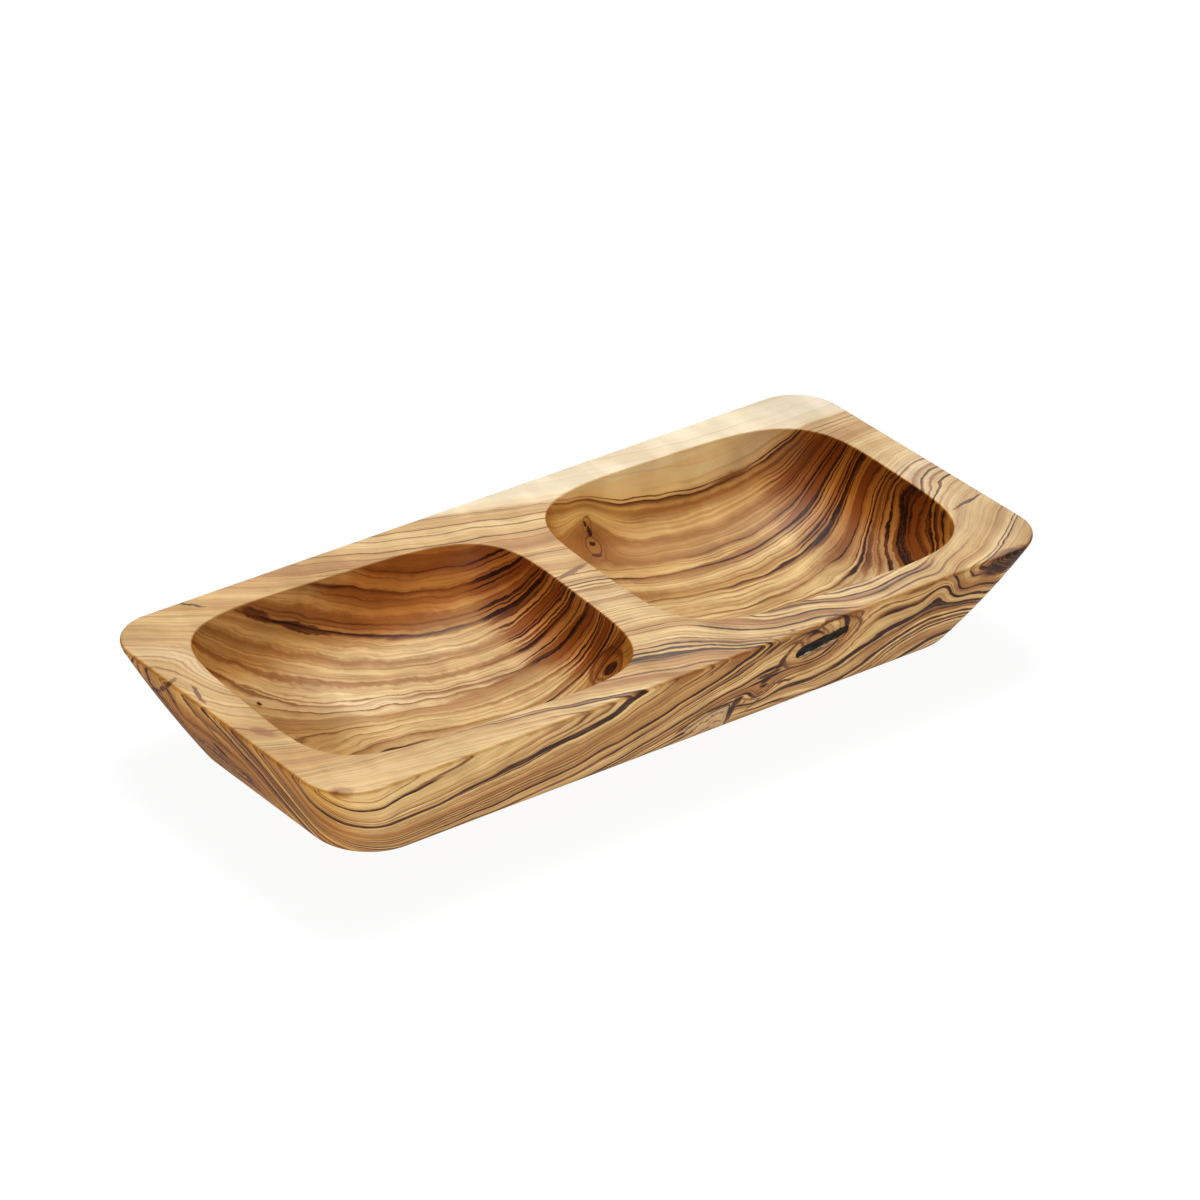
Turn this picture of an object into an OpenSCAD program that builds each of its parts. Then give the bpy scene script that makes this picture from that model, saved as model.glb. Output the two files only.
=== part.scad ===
// Serving dish with two bowls, carved from one block of olive wood.
// X runs along the dish, Y from the front to the back, Z up.
// The origin is the middle of the flat base.

/* [Block] */
// Length of the block at the rim, before its edge is rounded
block_l = 221; // [205:1:245]
// Width of the block at the rim, before its edge is rounded
block_w = 101.4; // [95:0.2:115]
// Height of the block
block_h = 30; // [27:0.5:40]
// How far each end slopes in towards the base
end_rake = 15.6; // [8:0.2:20]
// How far each long side slopes in towards the base
side_rake = 14.5; // [8:0.1:18]
// How far the walls belly out past a straight slope, half way down
wall_belly = 0.7; // [0:0.1:2]
// Corner radius at the rim
rim_corner_r = 13.6; // [6:0.2:20]
// Corner radius at the base
base_corner_r = 15.6; // [6:0.2:20]
// Rounding of the rim's outer edge
rim_edge_r = 1.4; // [0.4:0.1:3]
// Rounding of the edge round the base
base_edge_r = 2.2; // [0.4:0.1:4]

/* [Bowls] */
// Depth of both bowls below the rim
bowl_depth = 21; // [14:0.5:24]
// Width of the rim at the left end
left_rim = 10.2; // [7:0.1:16]
// Width of the rim at the right end
right_rim = 12.1; // [7:0.1:16]
// Width of the rim along both long sides
side_rim = 10.9; // [8:0.1:16]
// Width of the divider between the bowls
divider_w = 11.7; // [7:0.1:20]
// How far the divider sits to the right of the middle
divider_shift = 1; // [-6:0.1:6]
// How far the bowls sit off the middle line: the left one to the front, the right one to the back
bowl_stagger = 0.6; // [0:0.1:1.5]
// Turn of the left bowl, clockwise from above, in degrees
left_turn = 3.3; // [0:0.1:4]
// Turn of the right bowl, clockwise from above, in degrees
right_turn = 2.1; // [0:0.1:4]
// Reach of the left bowl's outline into the corners of its box: 0.71 is an ellipse, 1 a square corner
left_corner_share = 0.856; // [0.75:0.002:0.9]
// Reach of the right bowl's outline into the corners of its box
right_corner_share = 0.841; // [0.75:0.001:0.9]
// The same reach where the outline has shrunk to the floor
floor_corner_share = 0.77; // [0.72:0.01:0.86]
// Reach of the section from rim to floor into the corner under the rim
section_share = 0.757; // [0.72:0.001:0.85]
// Rounding of the edge round each bowl
bowl_edge_r = 0.5; // [0.2:0.1:1.5]

/* [Bark core] */
// Length of the bark core along the front wall
bark_l = 16; // [10:0.5:20]
// Width of the bark core across the front wall
bark_w = 5.2; // [2.4:0.1:7]
// Depth of the pocket that holds the bark core
bark_depth = 3.4; // [2:0.1:4.5]
// How far the bark core lies below the wall's surface
bark_sink = 0.5; // [0.2:0.1:1]
// Place of the bark core along the dish, from the middle
bark_x = 37.6; // [20:0.2:70]
// How far the middle of the bark core lies below the rim
bark_drop = 7.4; // [6:0.2:16]
// Climb of the bark core towards the right, in degrees
bark_climb = 11; // [0:1:30]

/* [Edge knot] */
// Radius of the knot's upper outline
knot_r = 15; // [11:0.5:20]
// Place along the dish of the knot's lower right corner
knot_x = 16; // [6:0.2:40]
// Height up the wall of the knot's lower right corner
knot_z = 1; // [0.6:0.1:4]
// Lean of the knot's right side to the left, in degrees
knot_lean = 12; // [0:1:25]
// Climb of the knot's lower side to the left, in degrees
knot_climb = 18; // [5:1:30]
// How far the knot reaches into the wood
knot_depth = 4.5; // [2:0.1:7]
// How far the middle of the upper outline lies to the left of the lower right corner
knot_centre_left = 3; // [0:0.2:6]
// How far the middle of the upper outline lies below the lower right corner
knot_centre_below = 4.2; // [0:0.2:6]

/* [Hidden] */

// Gap round each inclusion in its pocket
inclusion_gap = 0.05;
// How far a cut runs past the surface that it opens
overrun = 2;

// Steps of the curved surfaces
corner_steps = 12;
edge_steps = 4;
wall_steps = 6;
bowl_points = 64;
bowl_steps = 10;
lip_steps = 2;
floor_angle = 84;

// Bowl outlines, worked out from the rims and the divider
divider_left = divider_shift - divider_w / 2;
divider_right = divider_shift + divider_w / 2;
left_bowl_l = divider_left + block_l / 2 - left_rim;
right_bowl_l = block_l / 2 - right_rim - divider_right;
bowl_w = block_w - 2 * side_rim;

// Lean of the front wall from the vertical
wall_lean = atan(side_rake / block_h);

// Exponent of the rounded outline that reaches this share of the way into its corners
function outline_power(corner_share) = -ln(2) / ln(corner_share);

// Signed power, which keeps all four quarters of an outline alike
function signed_pow(v, p) = sign(v) * pow(abs(v), p);

function blend(from, to, share) = from + (to - from) * share;

// Inset of a quarter round of radius r, at this distance from the face that it runs into
function round_inset(r, d) = d >= r ? 0 : r - sqrt(r * r - (r - d) * (r - d));

function edge_inset(z) = round_inset(base_edge_r, z) + round_inset(rim_edge_r, block_h - z);

// Inset of a wall at height z: a straight slope with a slight belly
function slope_inset(rake, z) =
    let (drop_share = 1 - z / block_h)
    rake * drop_share - 4 * wall_belly * drop_share * (1 - drop_share);

function front_wall_y(z) = slope_inset(side_rake, z) - block_w / 2;

// Rounded rectangle at height z, counter-clockwise from above
function block_ring(z) =
    let (
        half_l = block_l / 2 - slope_inset(end_rake, z) - edge_inset(z),
        half_w = block_w / 2 - slope_inset(side_rake, z) - edge_inset(z),
        r = blend(base_corner_r, rim_corner_r, z / block_h) - edge_inset(z)
    )
    [for (corner = [0:3], i = [0:corner_steps])
        let (
            side_x = corner == 0 || corner == 3 ? 1 : -1,
            side_y = corner < 2 ? 1 : -1,
            a = 90 * (corner + i / corner_steps)
        )
        [side_x * (half_l - r) + r * cos(a), side_y * (half_w - r) + r * sin(a), z]];

// Heights of the block's rings: the base edge, the wall and the rim edge
function block_heights() = concat(
    [for (i = [0:edge_steps]) base_edge_r * (1 - cos(90 * i / edge_steps))],
    [for (i = [1:wall_steps - 1]) blend(base_edge_r, block_h - rim_edge_r, i / wall_steps)],
    [for (i = [0:edge_steps]) block_h - rim_edge_r * (1 - sin(90 * i / edge_steps))]
);

// Rounded outline of a bowl at height z, turned clockwise, counter-clockwise from above
function bowl_ring(centre, half_l, half_w, power, turn, z) =
    [for (i = [0:bowl_points - 1])
        let (
            a = 360 * i / bowl_points,
            x = half_l * signed_pow(cos(a), 2 / power),
            y = half_w * signed_pow(sin(a), 2 / power)
        )
        [centre[0] + x * cos(turn) + y * sin(turn), centre[1] - x * sin(turn) + y * cos(turn), z]];

// Rings of a bowl, from its floor up to its wall and out over its rounded edge
function bowl_rings(centre, half_l, half_w, corner_share, turn) =
    let (section_power = outline_power(section_share), wall_top = block_h - bowl_edge_r)
    concat(
        [for (i = [0:bowl_steps])
            let (
                a = floor_angle * (1 - i / bowl_steps),
                reach_share = pow(cos(a), 2 / section_power),
                drop_share = pow(sin(a) / sin(floor_angle), 2 / section_power),
                power = outline_power(blend(corner_share, floor_corner_share, drop_share))
            )
            bowl_ring(centre, half_l * reach_share, half_w * reach_share, power, turn,
                wall_top - (bowl_depth - bowl_edge_r) * drop_share)],
        [for (i = [1:lip_steps])
            let (a = 90 * i / lip_steps, out = bowl_edge_r * (1 - cos(a)))
            bowl_ring(centre, half_l + out, half_w + out, outline_power(corner_share), turn,
                wall_top + bowl_edge_r * sin(a))],
        [bowl_ring(centre, half_l + bowl_edge_r, half_w + bowl_edge_r, outline_power(corner_share),
            turn, block_h + overrun)]
    );

// Solid skinned over rings of equal length, listed from the bottom up
module loft(rings) {
    count = len(rings[0]);
    last = len(rings) - 1;
    polyhedron(
        points = [for (ring = rings) each ring],
        faces = concat(
            [[for (i = [0:count - 1]) i]],
            [[for (i = [0:count - 1]) last * count + count - 1 - i]],
            [for (k = [0:last - 1], i = [0:count - 1])
                let (low = k * count, high = low + count, j = (i + 1) % count)
                each [[low + i, high + i, high + j], [low + i, high + j, low + j]]]
        )
    );
}

// The block before anything is carved out of it
module block() {
    loft([for (z = block_heights()) block_ring(z)]);
}

module left_bowl() {
    centre = [divider_left - left_bowl_l / 2, -bowl_stagger];
    loft(bowl_rings(centre, left_bowl_l / 2, bowl_w / 2, left_corner_share, left_turn));
}

module right_bowl() {
    centre = [divider_right + right_bowl_l / 2, bowl_stagger];
    loft(bowl_rings(centre, right_bowl_l / 2, bowl_w / 2, right_corner_share, right_turn));
}

// Places a shape on the front wall: its X along the dish, its Y up the wall, its Z out of the wood
module on_front_wall(x, z) {
    translate([x, front_wall_y(z), z]) rotate([90 + wall_lean, 0, 0]) children();
}

// Slot with round ends, drawn out from the bottom of the bark's pocket
module bark_slot(grow, height) {
    half_run = (bark_l - bark_w) / 2;
    on_front_wall(bark_x, block_h - bark_drop)
        rotate([0, 0, bark_climb]) translate([0, 0, -bark_depth - grow])
        union() {
            for (end = [-1, 1])
                translate([end * half_run, 0, 0]) cylinder(r = bark_w / 2 + grow, h = height, $fn = 48);
            translate([-half_run, -bark_w / 2 - grow, 0])
                cube([2 * half_run, bark_w + 2 * grow, height]);
        }
}

// Fin-shaped stub: a round upper outline, cut off by a leaning right side and a climbing lower side
module knot_stub(grow) {
    side_angle = 90 + knot_lean;
    foot_angle = 180 - knot_climb;
    middle_angle = (side_angle + foot_angle) / 2;
    slip = grow / sin((foot_angle - side_angle) / 2);
    reach = 3 * knot_r;
    height = knot_depth + grow + overrun;
    on_front_wall(knot_x, knot_z) translate([0, 0, -knot_depth - grow])
        intersection() {
            translate([-knot_centre_left, -knot_centre_below, 0])
                cylinder(r = knot_r + grow, h = height, $fn = 96);
            translate([-slip * cos(middle_angle), -slip * sin(middle_angle), 0])
                linear_extrude(height = height)
                    polygon([[0, 0], reach * [cos(side_angle), sin(side_angle)],
                        reach * [cos(foot_angle), sin(foot_angle)]]);
        }
}

// The carved block, with a pocket for each inclusion
module dish_body() {
    color("#bd8f55")
    difference() {
        block();
        left_bowl();
        right_bowl();
        bark_slot(inclusion_gap, bark_depth + inclusion_gap + overrun);
        knot_stub(inclusion_gap);
    }
}

// Sliver of ingrown bark, a little below the surface of the wall
module side_bark_core() {
    color("#2a211c") bark_slot(0, bark_depth - bark_sink);
}

// Stub of a dead branch, cut flush with the wall
module edge_knot() {
    color("#b9975f")
    intersection() {
        knot_stub(0);
        block();
    }
}

dish_body();
side_bark_core();
edge_knot();
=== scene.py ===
"""Looks of a serving dish with two bowls, carved from one block of olive wood."""
import math

import bmesh
import bpy
from mathutils import Matrix, Vector, noise


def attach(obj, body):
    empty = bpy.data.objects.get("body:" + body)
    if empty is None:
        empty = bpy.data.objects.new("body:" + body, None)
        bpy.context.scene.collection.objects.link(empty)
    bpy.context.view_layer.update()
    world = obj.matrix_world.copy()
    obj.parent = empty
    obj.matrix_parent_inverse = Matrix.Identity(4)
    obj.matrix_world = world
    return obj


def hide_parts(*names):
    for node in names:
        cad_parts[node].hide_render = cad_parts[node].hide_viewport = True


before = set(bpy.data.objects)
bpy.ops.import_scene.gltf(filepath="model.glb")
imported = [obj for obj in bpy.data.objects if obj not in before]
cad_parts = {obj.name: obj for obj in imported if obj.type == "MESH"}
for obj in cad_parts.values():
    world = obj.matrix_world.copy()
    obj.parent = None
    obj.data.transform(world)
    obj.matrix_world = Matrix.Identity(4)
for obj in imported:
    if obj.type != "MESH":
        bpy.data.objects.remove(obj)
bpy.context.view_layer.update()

MM = 0.001
PER_METRE = (1000, 1000, 1000)

# Sizes of the block, in millimetres, as in the part's source
BLOCK_L = 221
BLOCK_W = 101.4
BLOCK_H = 30
END_RAKE = 15.6
SIDE_RAKE = 14.5
WALL_BELLY = 0.7
RIM_CORNER_R = 13.6
BASE_CORNER_R = 15.6
RIM_EDGE_R = 1.4
BASE_EDGE_R = 2.2
WALL_LEAN = math.atan(SIDE_RAKE / BLOCK_H)

# Sizes of the bowls
BOWL_DEPTH = 21
BOWL_EDGE_R = 0.5
BOWL_HALF_W = 39.8
FLOOR_CORNER_SHARE = 0.77
SECTION_SHARE = 0.757
FLOOR_ANGLE = math.radians(84)
LEFT_BOWL = {"centre": (-52.575, -0.6), "half_l": 47.725, "corner_share": 0.856, "turn": 3.3}
RIGHT_BOWL = {"centre": (52.625, 0.6), "half_l": 45.775, "corner_share": 0.841, "turn": 2.1}

# Sizes of the bark core and of the knot in the front wall
BARK_L = 16
BARK_W = 5.2
BARK_DEPTH = 3.4
BARK_SINK = 0.5
BARK_ROUGHNESS = 0.4
BARK_LIP = 0.45
BARK_FIBRES = (0.35, 1.5)
BARK_SPLINTERS = (1.3, 3.0)
SPLINTER_SHARE = 0.5
SPLINTER_LAYER = 5
BARK_PLACE = (37.6, 22.6)
BARK_CLIMB_DEGREES = 11
KNOT_R = 15
KNOT_PLACE = (16, 1)
KNOT_LEAN = math.radians(12)
KNOT_CLIMB = math.radians(18)
KNOT_DEPTH = 4.5
KNOT_CENTRE = (-3, -4.2)
INCLUSION_GAP = 0.05

# How finely the smooth surfaces are divided
CORNER_STEPS = 18
LONG_SIDE_STEPS = 40
SHORT_SIDE_STEPS = 18
EDGE_STEPS = 6
WALL_STEPS = 12
BOWL_COLUMNS = 192
BOWL_ROWS = 30
LIP_STEPS = 3
SLOT_END_STEPS = 16
KNOT_TOP_STEPS = 40
KNOT_FOOT_STEPS = 20
KNOT_SIDE_STEPS = 14
BARK_COLUMNS = 72
BARK_ROWS = 26
SHARP_ANGLE = math.radians(40)
# How far a cutting tool runs past the wood
OVERRUN = 2


def blend(start, stop, share):
    return start + (stop - start) * share


def round_inset(radius, gap):
    """Inset of a quarter round, at this gap from the face that it runs into."""
    return 0 if gap >= radius else radius - math.sqrt(radius ** 2 - (radius - gap) ** 2)


def slope_inset(rake, z):
    """Inset of a wall at height z: a straight slope with a slight belly."""
    drop = 1 - z / BLOCK_H
    return rake * drop - 4 * WALL_BELLY * drop * (1 - drop)


def block_ring(z):
    """Rounded rectangle of the block at height z, counter-clockwise from above."""
    edge = round_inset(BASE_EDGE_R, z) + round_inset(RIM_EDGE_R, BLOCK_H - z)
    half_l = BLOCK_L / 2 - slope_inset(END_RAKE, z) - edge
    half_w = BLOCK_W / 2 - slope_inset(SIDE_RAKE, z) - edge
    r = blend(BASE_CORNER_R, RIM_CORNER_R, z / BLOCK_H) - edge
    arcs = []
    for corner, (side_x, side_y) in enumerate(((1, 1), (-1, 1), (-1, -1), (1, -1))):
        middle = Vector((side_x * (half_l - r), side_y * (half_w - r), z))
        angles = [math.pi / 2 * (corner + i / CORNER_STEPS) for i in range(CORNER_STEPS + 1)]
        arcs.append([middle + r * Vector((math.cos(a), math.sin(a), 0)) for a in angles])
    ring = []
    for corner in range(4):
        steps = SHORT_SIDE_STEPS if corner % 2 else LONG_SIDE_STEPS
        start, stop = arcs[corner][-1], arcs[(corner + 1) % 4][0]
        ring += arcs[corner] + [start.lerp(stop, i / steps) for i in range(1, steps)]
    return ring


def block_rings():
    quarter = [math.pi / 2 * i / EDGE_STEPS for i in range(EDGE_STEPS + 1)]
    low = [BASE_EDGE_R * (1 - math.cos(a)) for a in quarter]
    wall = [blend(BASE_EDGE_R, BLOCK_H - RIM_EDGE_R, i / WALL_STEPS) for i in range(1, WALL_STEPS)]
    high = [BLOCK_H - RIM_EDGE_R * (1 - math.sin(a)) for a in quarter]
    return [block_ring(z) for z in low + wall + high]


def outline_power(corner_share):
    """Exponent of the rounded outline that reaches this share of the way into its corners."""
    return -math.log(2) / math.log(corner_share)


def bowl_ring(bowl, reach, out, corner_share, z):
    """Rounded outline of a bowl at height z, shrunk to a share of its size or grown a little."""
    power = outline_power(corner_share)
    half_l = bowl["half_l"] * reach + out
    half_w = BOWL_HALF_W * reach + out
    turn = Matrix.Rotation(-math.radians(bowl["turn"]), 3, "Z")
    ring = []
    for i in range(BOWL_COLUMNS):
        a = 2 * math.pi * i / BOWL_COLUMNS
        ray = Vector((math.cos(a), math.sin(a), 0))
        far = (abs(ray.x / half_l) ** power + abs(ray.y / half_w) ** power) ** (-1 / power)
        ring.append(turn @ (ray * far) + Vector((*bowl["centre"], z)))
    return ring


def bowl_rings(bowl):
    """Rings of a bowl, from its floor up its wall and out over its rounded edge."""
    section = outline_power(SECTION_SHARE)
    wall_top = BLOCK_H - BOWL_EDGE_R
    rings = []
    for i in range(BOWL_ROWS + 1):
        a = FLOOR_ANGLE * (1 - i / BOWL_ROWS)
        reach = math.cos(a) ** (2 / section)
        drop = (math.sin(a) / math.sin(FLOOR_ANGLE)) ** (2 / section)
        share = blend(bowl["corner_share"], FLOOR_CORNER_SHARE, drop)
        rings.append(bowl_ring(bowl, reach, 0, share, wall_top - (BOWL_DEPTH - BOWL_EDGE_R) * drop))
    for i in range(1, LIP_STEPS + 1):
        a = math.pi / 2 * i / LIP_STEPS
        out = BOWL_EDGE_R * (1 - math.cos(a))
        rings.append(bowl_ring(bowl, 1, out, bowl["corner_share"], wall_top + BOWL_EDGE_R * math.sin(a)))
    rings.append(bowl_ring(bowl, 1, BOWL_EDGE_R, bowl["corner_share"], BLOCK_H + OVERRUN))
    return rings


def front_wall(x, z):
    """Frame on the front wall: its X along the dish, its Y up the wall, its Z out of the wood."""
    y = slope_inset(SIDE_RAKE, z) - BLOCK_W / 2
    return Matrix.Translation((x, y, z)) @ Matrix.Rotation(math.pi / 2 + WALL_LEAN, 4, "X")


def on_front(x, z, climb=0.0):
    """Frame on the front wall, turned to climb to the right by this many degrees."""
    return front_wall(x, z) @ Matrix.Rotation(math.radians(climb), 4, "Z")


def on_top(x, y, turn=0.0):
    """Frame on the flat rim, turned by this many degrees."""
    return Matrix.Translation((x, y, BLOCK_H)) @ Matrix.Rotation(math.radians(turn), 4, "Z")


def on_slope(place, out, shift=(0, 0), turn=0.0):
    """Frame on a slanting surface: its X level, its Y up the slope, moved by a shift and turned."""
    z = Vector(out).normalized()
    x = Vector((0, 0, 1)).cross(z).normalized()
    slant = Matrix((x, z.cross(x), z)).transposed().to_4x4()
    return (Matrix.Translation(place) @ slant @ Matrix.Translation((*shift, 0))
            @ Matrix.Rotation(math.radians(turn), 4, "Z"))


BARK_FRAME = on_front(*BARK_PLACE, BARK_CLIMB_DEGREES)
KNOT_FRAME = front_wall(*KNOT_PLACE)


def slot_outline(length, width):
    """Outline of a slot with round ends, counter-clockwise."""
    half_run = (length - width) / 2
    ring = []
    for end in (1, -1):
        for i in range(SLOT_END_STEPS + 1):
            a = math.pi * (i / SLOT_END_STEPS - 0.5) + (0 if end > 0 else math.pi)
            ring.append(Vector((end * half_run + width / 2 * math.cos(a), width / 2 * math.sin(a), 0)))
    return ring


def knot_outline(grow):
    """Fin-shaped outline of the knot: a round top, a leaning right side and a climbing lower side."""
    centre = Vector((*KNOT_CENTRE, 0))
    side, foot = math.pi / 2 + KNOT_LEAN, math.pi - KNOT_CLIMB
    middle = (side + foot) / 2
    tip = -Vector((math.cos(middle), math.sin(middle), 0)) * grow / math.sin((foot - side) / 2)

    def far_end(angle):
        ray = Vector((math.cos(angle), math.sin(angle), 0))
        along = ray.dot(tip - centre)
        room = (KNOT_R + grow) ** 2 - (tip - centre).length_squared
        return tip + ray * (math.sqrt(along ** 2 + room) - along)

    top, tail = far_end(side), far_end(foot)
    first = math.atan2(*(top - centre).yx)
    last = math.atan2(*(tail - centre).yx)
    arc = [blend(first, last, i / KNOT_TOP_STEPS) for i in range(KNOT_TOP_STEPS + 1)]
    ring = [centre + (KNOT_R + grow) * Vector((math.cos(a), math.sin(a), 0)) for a in arc]
    ring += [tail.lerp(tip, i / KNOT_FOOT_STEPS) for i in range(1, KNOT_FOOT_STEPS)]
    ring += [tip.lerp(top, i / KNOT_SIDE_STEPS) for i in range(KNOT_SIDE_STEPS)]
    return ring


def skin(rings):
    """Closed solid skinned over rings of equal length, listed from the bottom up."""
    columns, rows = len(rings[0]), len(rings) - 1
    bm = bmesh.new()
    bmesh.ops.create_grid(bm, x_segments=columns, y_segments=rows, size=0.5)
    for v in bm.verts:
        column = round((v.co.x + 0.5) * columns) % columns
        row = round((v.co.y + 0.5) * rows)
        v.co = rings[row][column]
    bmesh.ops.remove_doubles(bm, verts=bm.verts, dist=0.001)
    bmesh.ops.holes_fill(bm, edges=[e for e in bm.edges if e.is_boundary])
    bmesh.ops.recalc_face_normals(bm, faces=bm.faces)
    return bm


def prism(outline, low, high):
    """Straight solid over an outline, between two heights."""
    return skin([[p + Vector((0, 0, h)) for p in outline] for h in (low, high)])


def make_object(name, bm, place=Matrix.Identity(4)):
    """A mesh object at the origin, from a bmesh in millimetres."""
    bmesh.ops.transform(bm, matrix=Matrix.Scale(MM, 4) @ place, verts=bm.verts)
    mesh = bpy.data.meshes.new(name)
    bm.to_mesh(mesh)
    bm.free()
    obj = bpy.data.objects.new(name, mesh)
    bpy.context.scene.collection.objects.link(obj)
    return obj


def carve(obj, tools, operation="DIFFERENCE"):
    """Cuts the tools out of the object, or keeps what is inside them, and removes the tools."""
    for tool in tools:
        cut = obj.modifiers.new(tool.name, "BOOLEAN")
        cut.object, cut.operation, cut.solver = tool, operation, "EXACT"
    bpy.context.view_layer.update()
    ready = obj.evaluated_get(bpy.context.evaluated_depsgraph_get())
    mesh = bpy.data.meshes.new_from_object(ready)
    obj.modifiers.clear()
    spare, obj.data = obj.data, mesh
    mesh.name = obj.name
    bpy.data.meshes.remove(spare)
    for tool in tools:
        bpy.data.meshes.remove(tool.data)


def smooth_over(obj):
    """Smooth shading that keeps the flat faces flat and the sharp edges sharp."""
    obj.data.shade_smooth()
    obj.data.set_sharp_from_angle(angle=SHARP_ANGLE)
    flat = obj.modifiers.new("even normals", "WEIGHTED_NORMAL")
    flat.mode, flat.keep_sharp = "FACE_AREA", True


def finish_piece(obj, material, node):
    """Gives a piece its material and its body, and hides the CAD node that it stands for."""
    obj.data.materials.clear()
    obj.data.materials.append(material)
    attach(obj, "root")
    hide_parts(node)


class Board:
    """Adds nodes to one tree and joins them up."""

    def __init__(self, tree):
        self.nodes, self.links = tree.nodes, tree.links

    def feed(self, socket, value):
        if isinstance(value, bpy.types.NodeSocket):
            self.links.new(value, socket)
        else:
            socket.default_value = value

    def put(self, kind, feeds, **settings):
        node = self.nodes.new(kind)
        for name, value in settings.items():
            setattr(node, name, value)
        for socket, value in feeds.items():
            self.feed(node.inputs[socket], value)
        return node

    def math(self, operation, a, b=0.0):
        return self.put("ShaderNodeMath", {0: a, 1: b}, operation=operation).outputs[0]

    def vector(self, operation, a, b=(0, 0, 0)):
        node = self.put("ShaderNodeVectorMath", {0: a, 1: b}, operation=operation)
        return node.outputs["Value" if operation in ("DOT_PRODUCT", "LENGTH") else "Vector"]

    def joined(self, x, y, z):
        return self.put("ShaderNodeCombineXYZ", {0: x, 1: y, 2: z}).outputs[0]

    def split(self, vector):
        return self.put("ShaderNodeSeparateXYZ", {0: vector}).outputs

    def span(self, value, low, high, to_low=0.0, to_high=1.0, kind="SMOOTHSTEP"):
        """Takes the value from one range to another, and holds it at the ends."""
        feeds = {"Value": value, "From Min": low, "From Max": high, "To Min": to_low, "To Max": to_high}
        return self.put("ShaderNodeMapRange", feeds, interpolation_type=kind).outputs[0]

    def noise(self, vector, scale, detail=2.0, roughness=0.5):
        feeds = {"Vector": vector, "Scale": scale, "Detail": detail, "Roughness": roughness}
        return self.put("ShaderNodeTexNoise", feeds).outputs[0]

    def drawn_out(self, point, stretch, detail=2.0, roughness=0.5):
        """Noise with its own number of waves to a millimetre along each axis."""
        return self.noise(self.vector("MULTIPLY", point, stretch), 1.0, detail, roughness)

    def moved(self, value, wave, reach):
        """The value, moved to and fro by a noise."""
        return self.math("ADD", value, self.span(wave, 0, 1, -reach, reach, "LINEAR"))

    def millimetres(self):
        """Where a point lies on its piece, in millimetres."""
        place = self.put("ShaderNodeTexCoord", {}).outputs["Object"]
        return self.vector("MULTIPLY", place, PER_METRE)

    def near(self, point, place):
        """The point as it lies in a frame on the wood."""
        feeds = {"Vector": point, "Location": place.to_translation(), "Rotation": place.to_euler()}
        return self.put("ShaderNodeMapping", feeds, vector_type="TEXTURE").outputs[0]

    def mix(self, share, a, b, blend_type="MIX"):
        node = self.put("ShaderNodeMix", {0: share, 6: a, 7: b}, data_type="RGBA", blend_type=blend_type)
        return node.outputs[2]

    def stain(self, colour, share, tone):
        """The colour, with this share of a plain tone laid over it."""
        return self.mix(share, colour, opaque(tone))

    def tint(self, colour, share, tone):
        """The colour, multiplied by a tone to this share."""
        return self.mix(share, colour, opaque(tone), "MULTIPLY")

    def ramp(self, value, stops):
        """Colour by the value: each stop has its place and its colour."""
        node = self.put("ShaderNodeValToRGB", {0: value})
        band = node.color_ramp
        while len(band.elements) < len(stops):
            band.elements.new(1.0)
        for element, (place, colour) in zip(band.elements, stops):
            element.position = place
            element.color = colour
        return node.outputs["Color"]

    def course(self, value, stops):
        """Mask by the value: each stop has its place and its strength, kept in a ramp's alpha."""
        colour = self.ramp(value, [(place, (1, 1, 1, strength)) for place, strength in stops])
        return colour.node.outputs["Alpha"]

    def use(self, tree, feeds):
        return self.put("ShaderNodeGroup", feeds, node_tree=tree).outputs


KINDS = {"value": "NodeSocketFloat", "vector": "NodeSocketVector", "colour": "NodeSocketColor"}


def new_group(name, inputs, outputs):
    """An empty node group with named sockets, ready to be filled."""
    tree = bpy.data.node_groups.new(name, "ShaderNodeTree")
    for label, kind in inputs.items():
        tree.interface.new_socket(label, in_out="INPUT", socket_type=KINDS[kind])
    for label, kind in outputs.items():
        tree.interface.new_socket(label, in_out="OUTPUT", socket_type=KINDS[kind])
    board = Board(tree)
    return tree, board, tree.nodes.new("NodeGroupInput").outputs, tree.nodes.new("NodeGroupOutput").inputs


def opaque(colour):
    return (*colour, 1.0)


# Ring depth in millimetres, counted from the middle of the block out to the front:
# it grows along this direction, bends by these rows, and swells round each knot
RING_MIDDLE = (0, 0, 15)
RING_LEAN = (-0.21, -0.96, 0.04)
RING_BENDS = ((0.001, -0.0011, -0.0017), (-0.0011, 0.001, -0.0053), (-0.0017, -0.0053, -0.0226))
# Each swell has a centre, a radius and a height
RING_SWELLS = {
    "bark side": ((50, -47, 34), 30, -22),
    "edge knot": ((12, -40, 7), 28, -15),
    "divider foot": ((6, -32, 30), 15, 7),
    "bowl eye": ((29, 33, 21), 6.5, 14),
    "bowl corner": ((-9, -29, 19), 11, 7),
    "front right": ((87, -45, 5), 28, -30),
    "right end": ((106, 12, 33), 26, 20),
    "left rim": ((-92, 13, 30), 11, -14),
    "beyond the right end": ((140, -30, 34), 45, 18),
    "left end": ((-102, -12, 18), 27, -23),
    "bark": ((36.8, -47, 22.5), 9, 8),
    "zigzag crest": ((75, -48.5, 25), 5, -4),
    "zigzag trough": ((83, -48.5, 24), 5, 4.5),
    "bowl knot": ((-10.5, -25.1, 21), 5.5, 7),
    "swirl": ((23, -41.5, 10.5), 4.5, 6),
}
# Waves that move the rings to and fro: waves to a millimetre, and reach in millimetres
LONG_WAVE = 0.045
SHORT_WAVE = 0.11
WAVE_REACH = 1.2
FIBRES = (0.13, 0.5, 0.5)
FIBRE_REACH = 0.55

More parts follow.
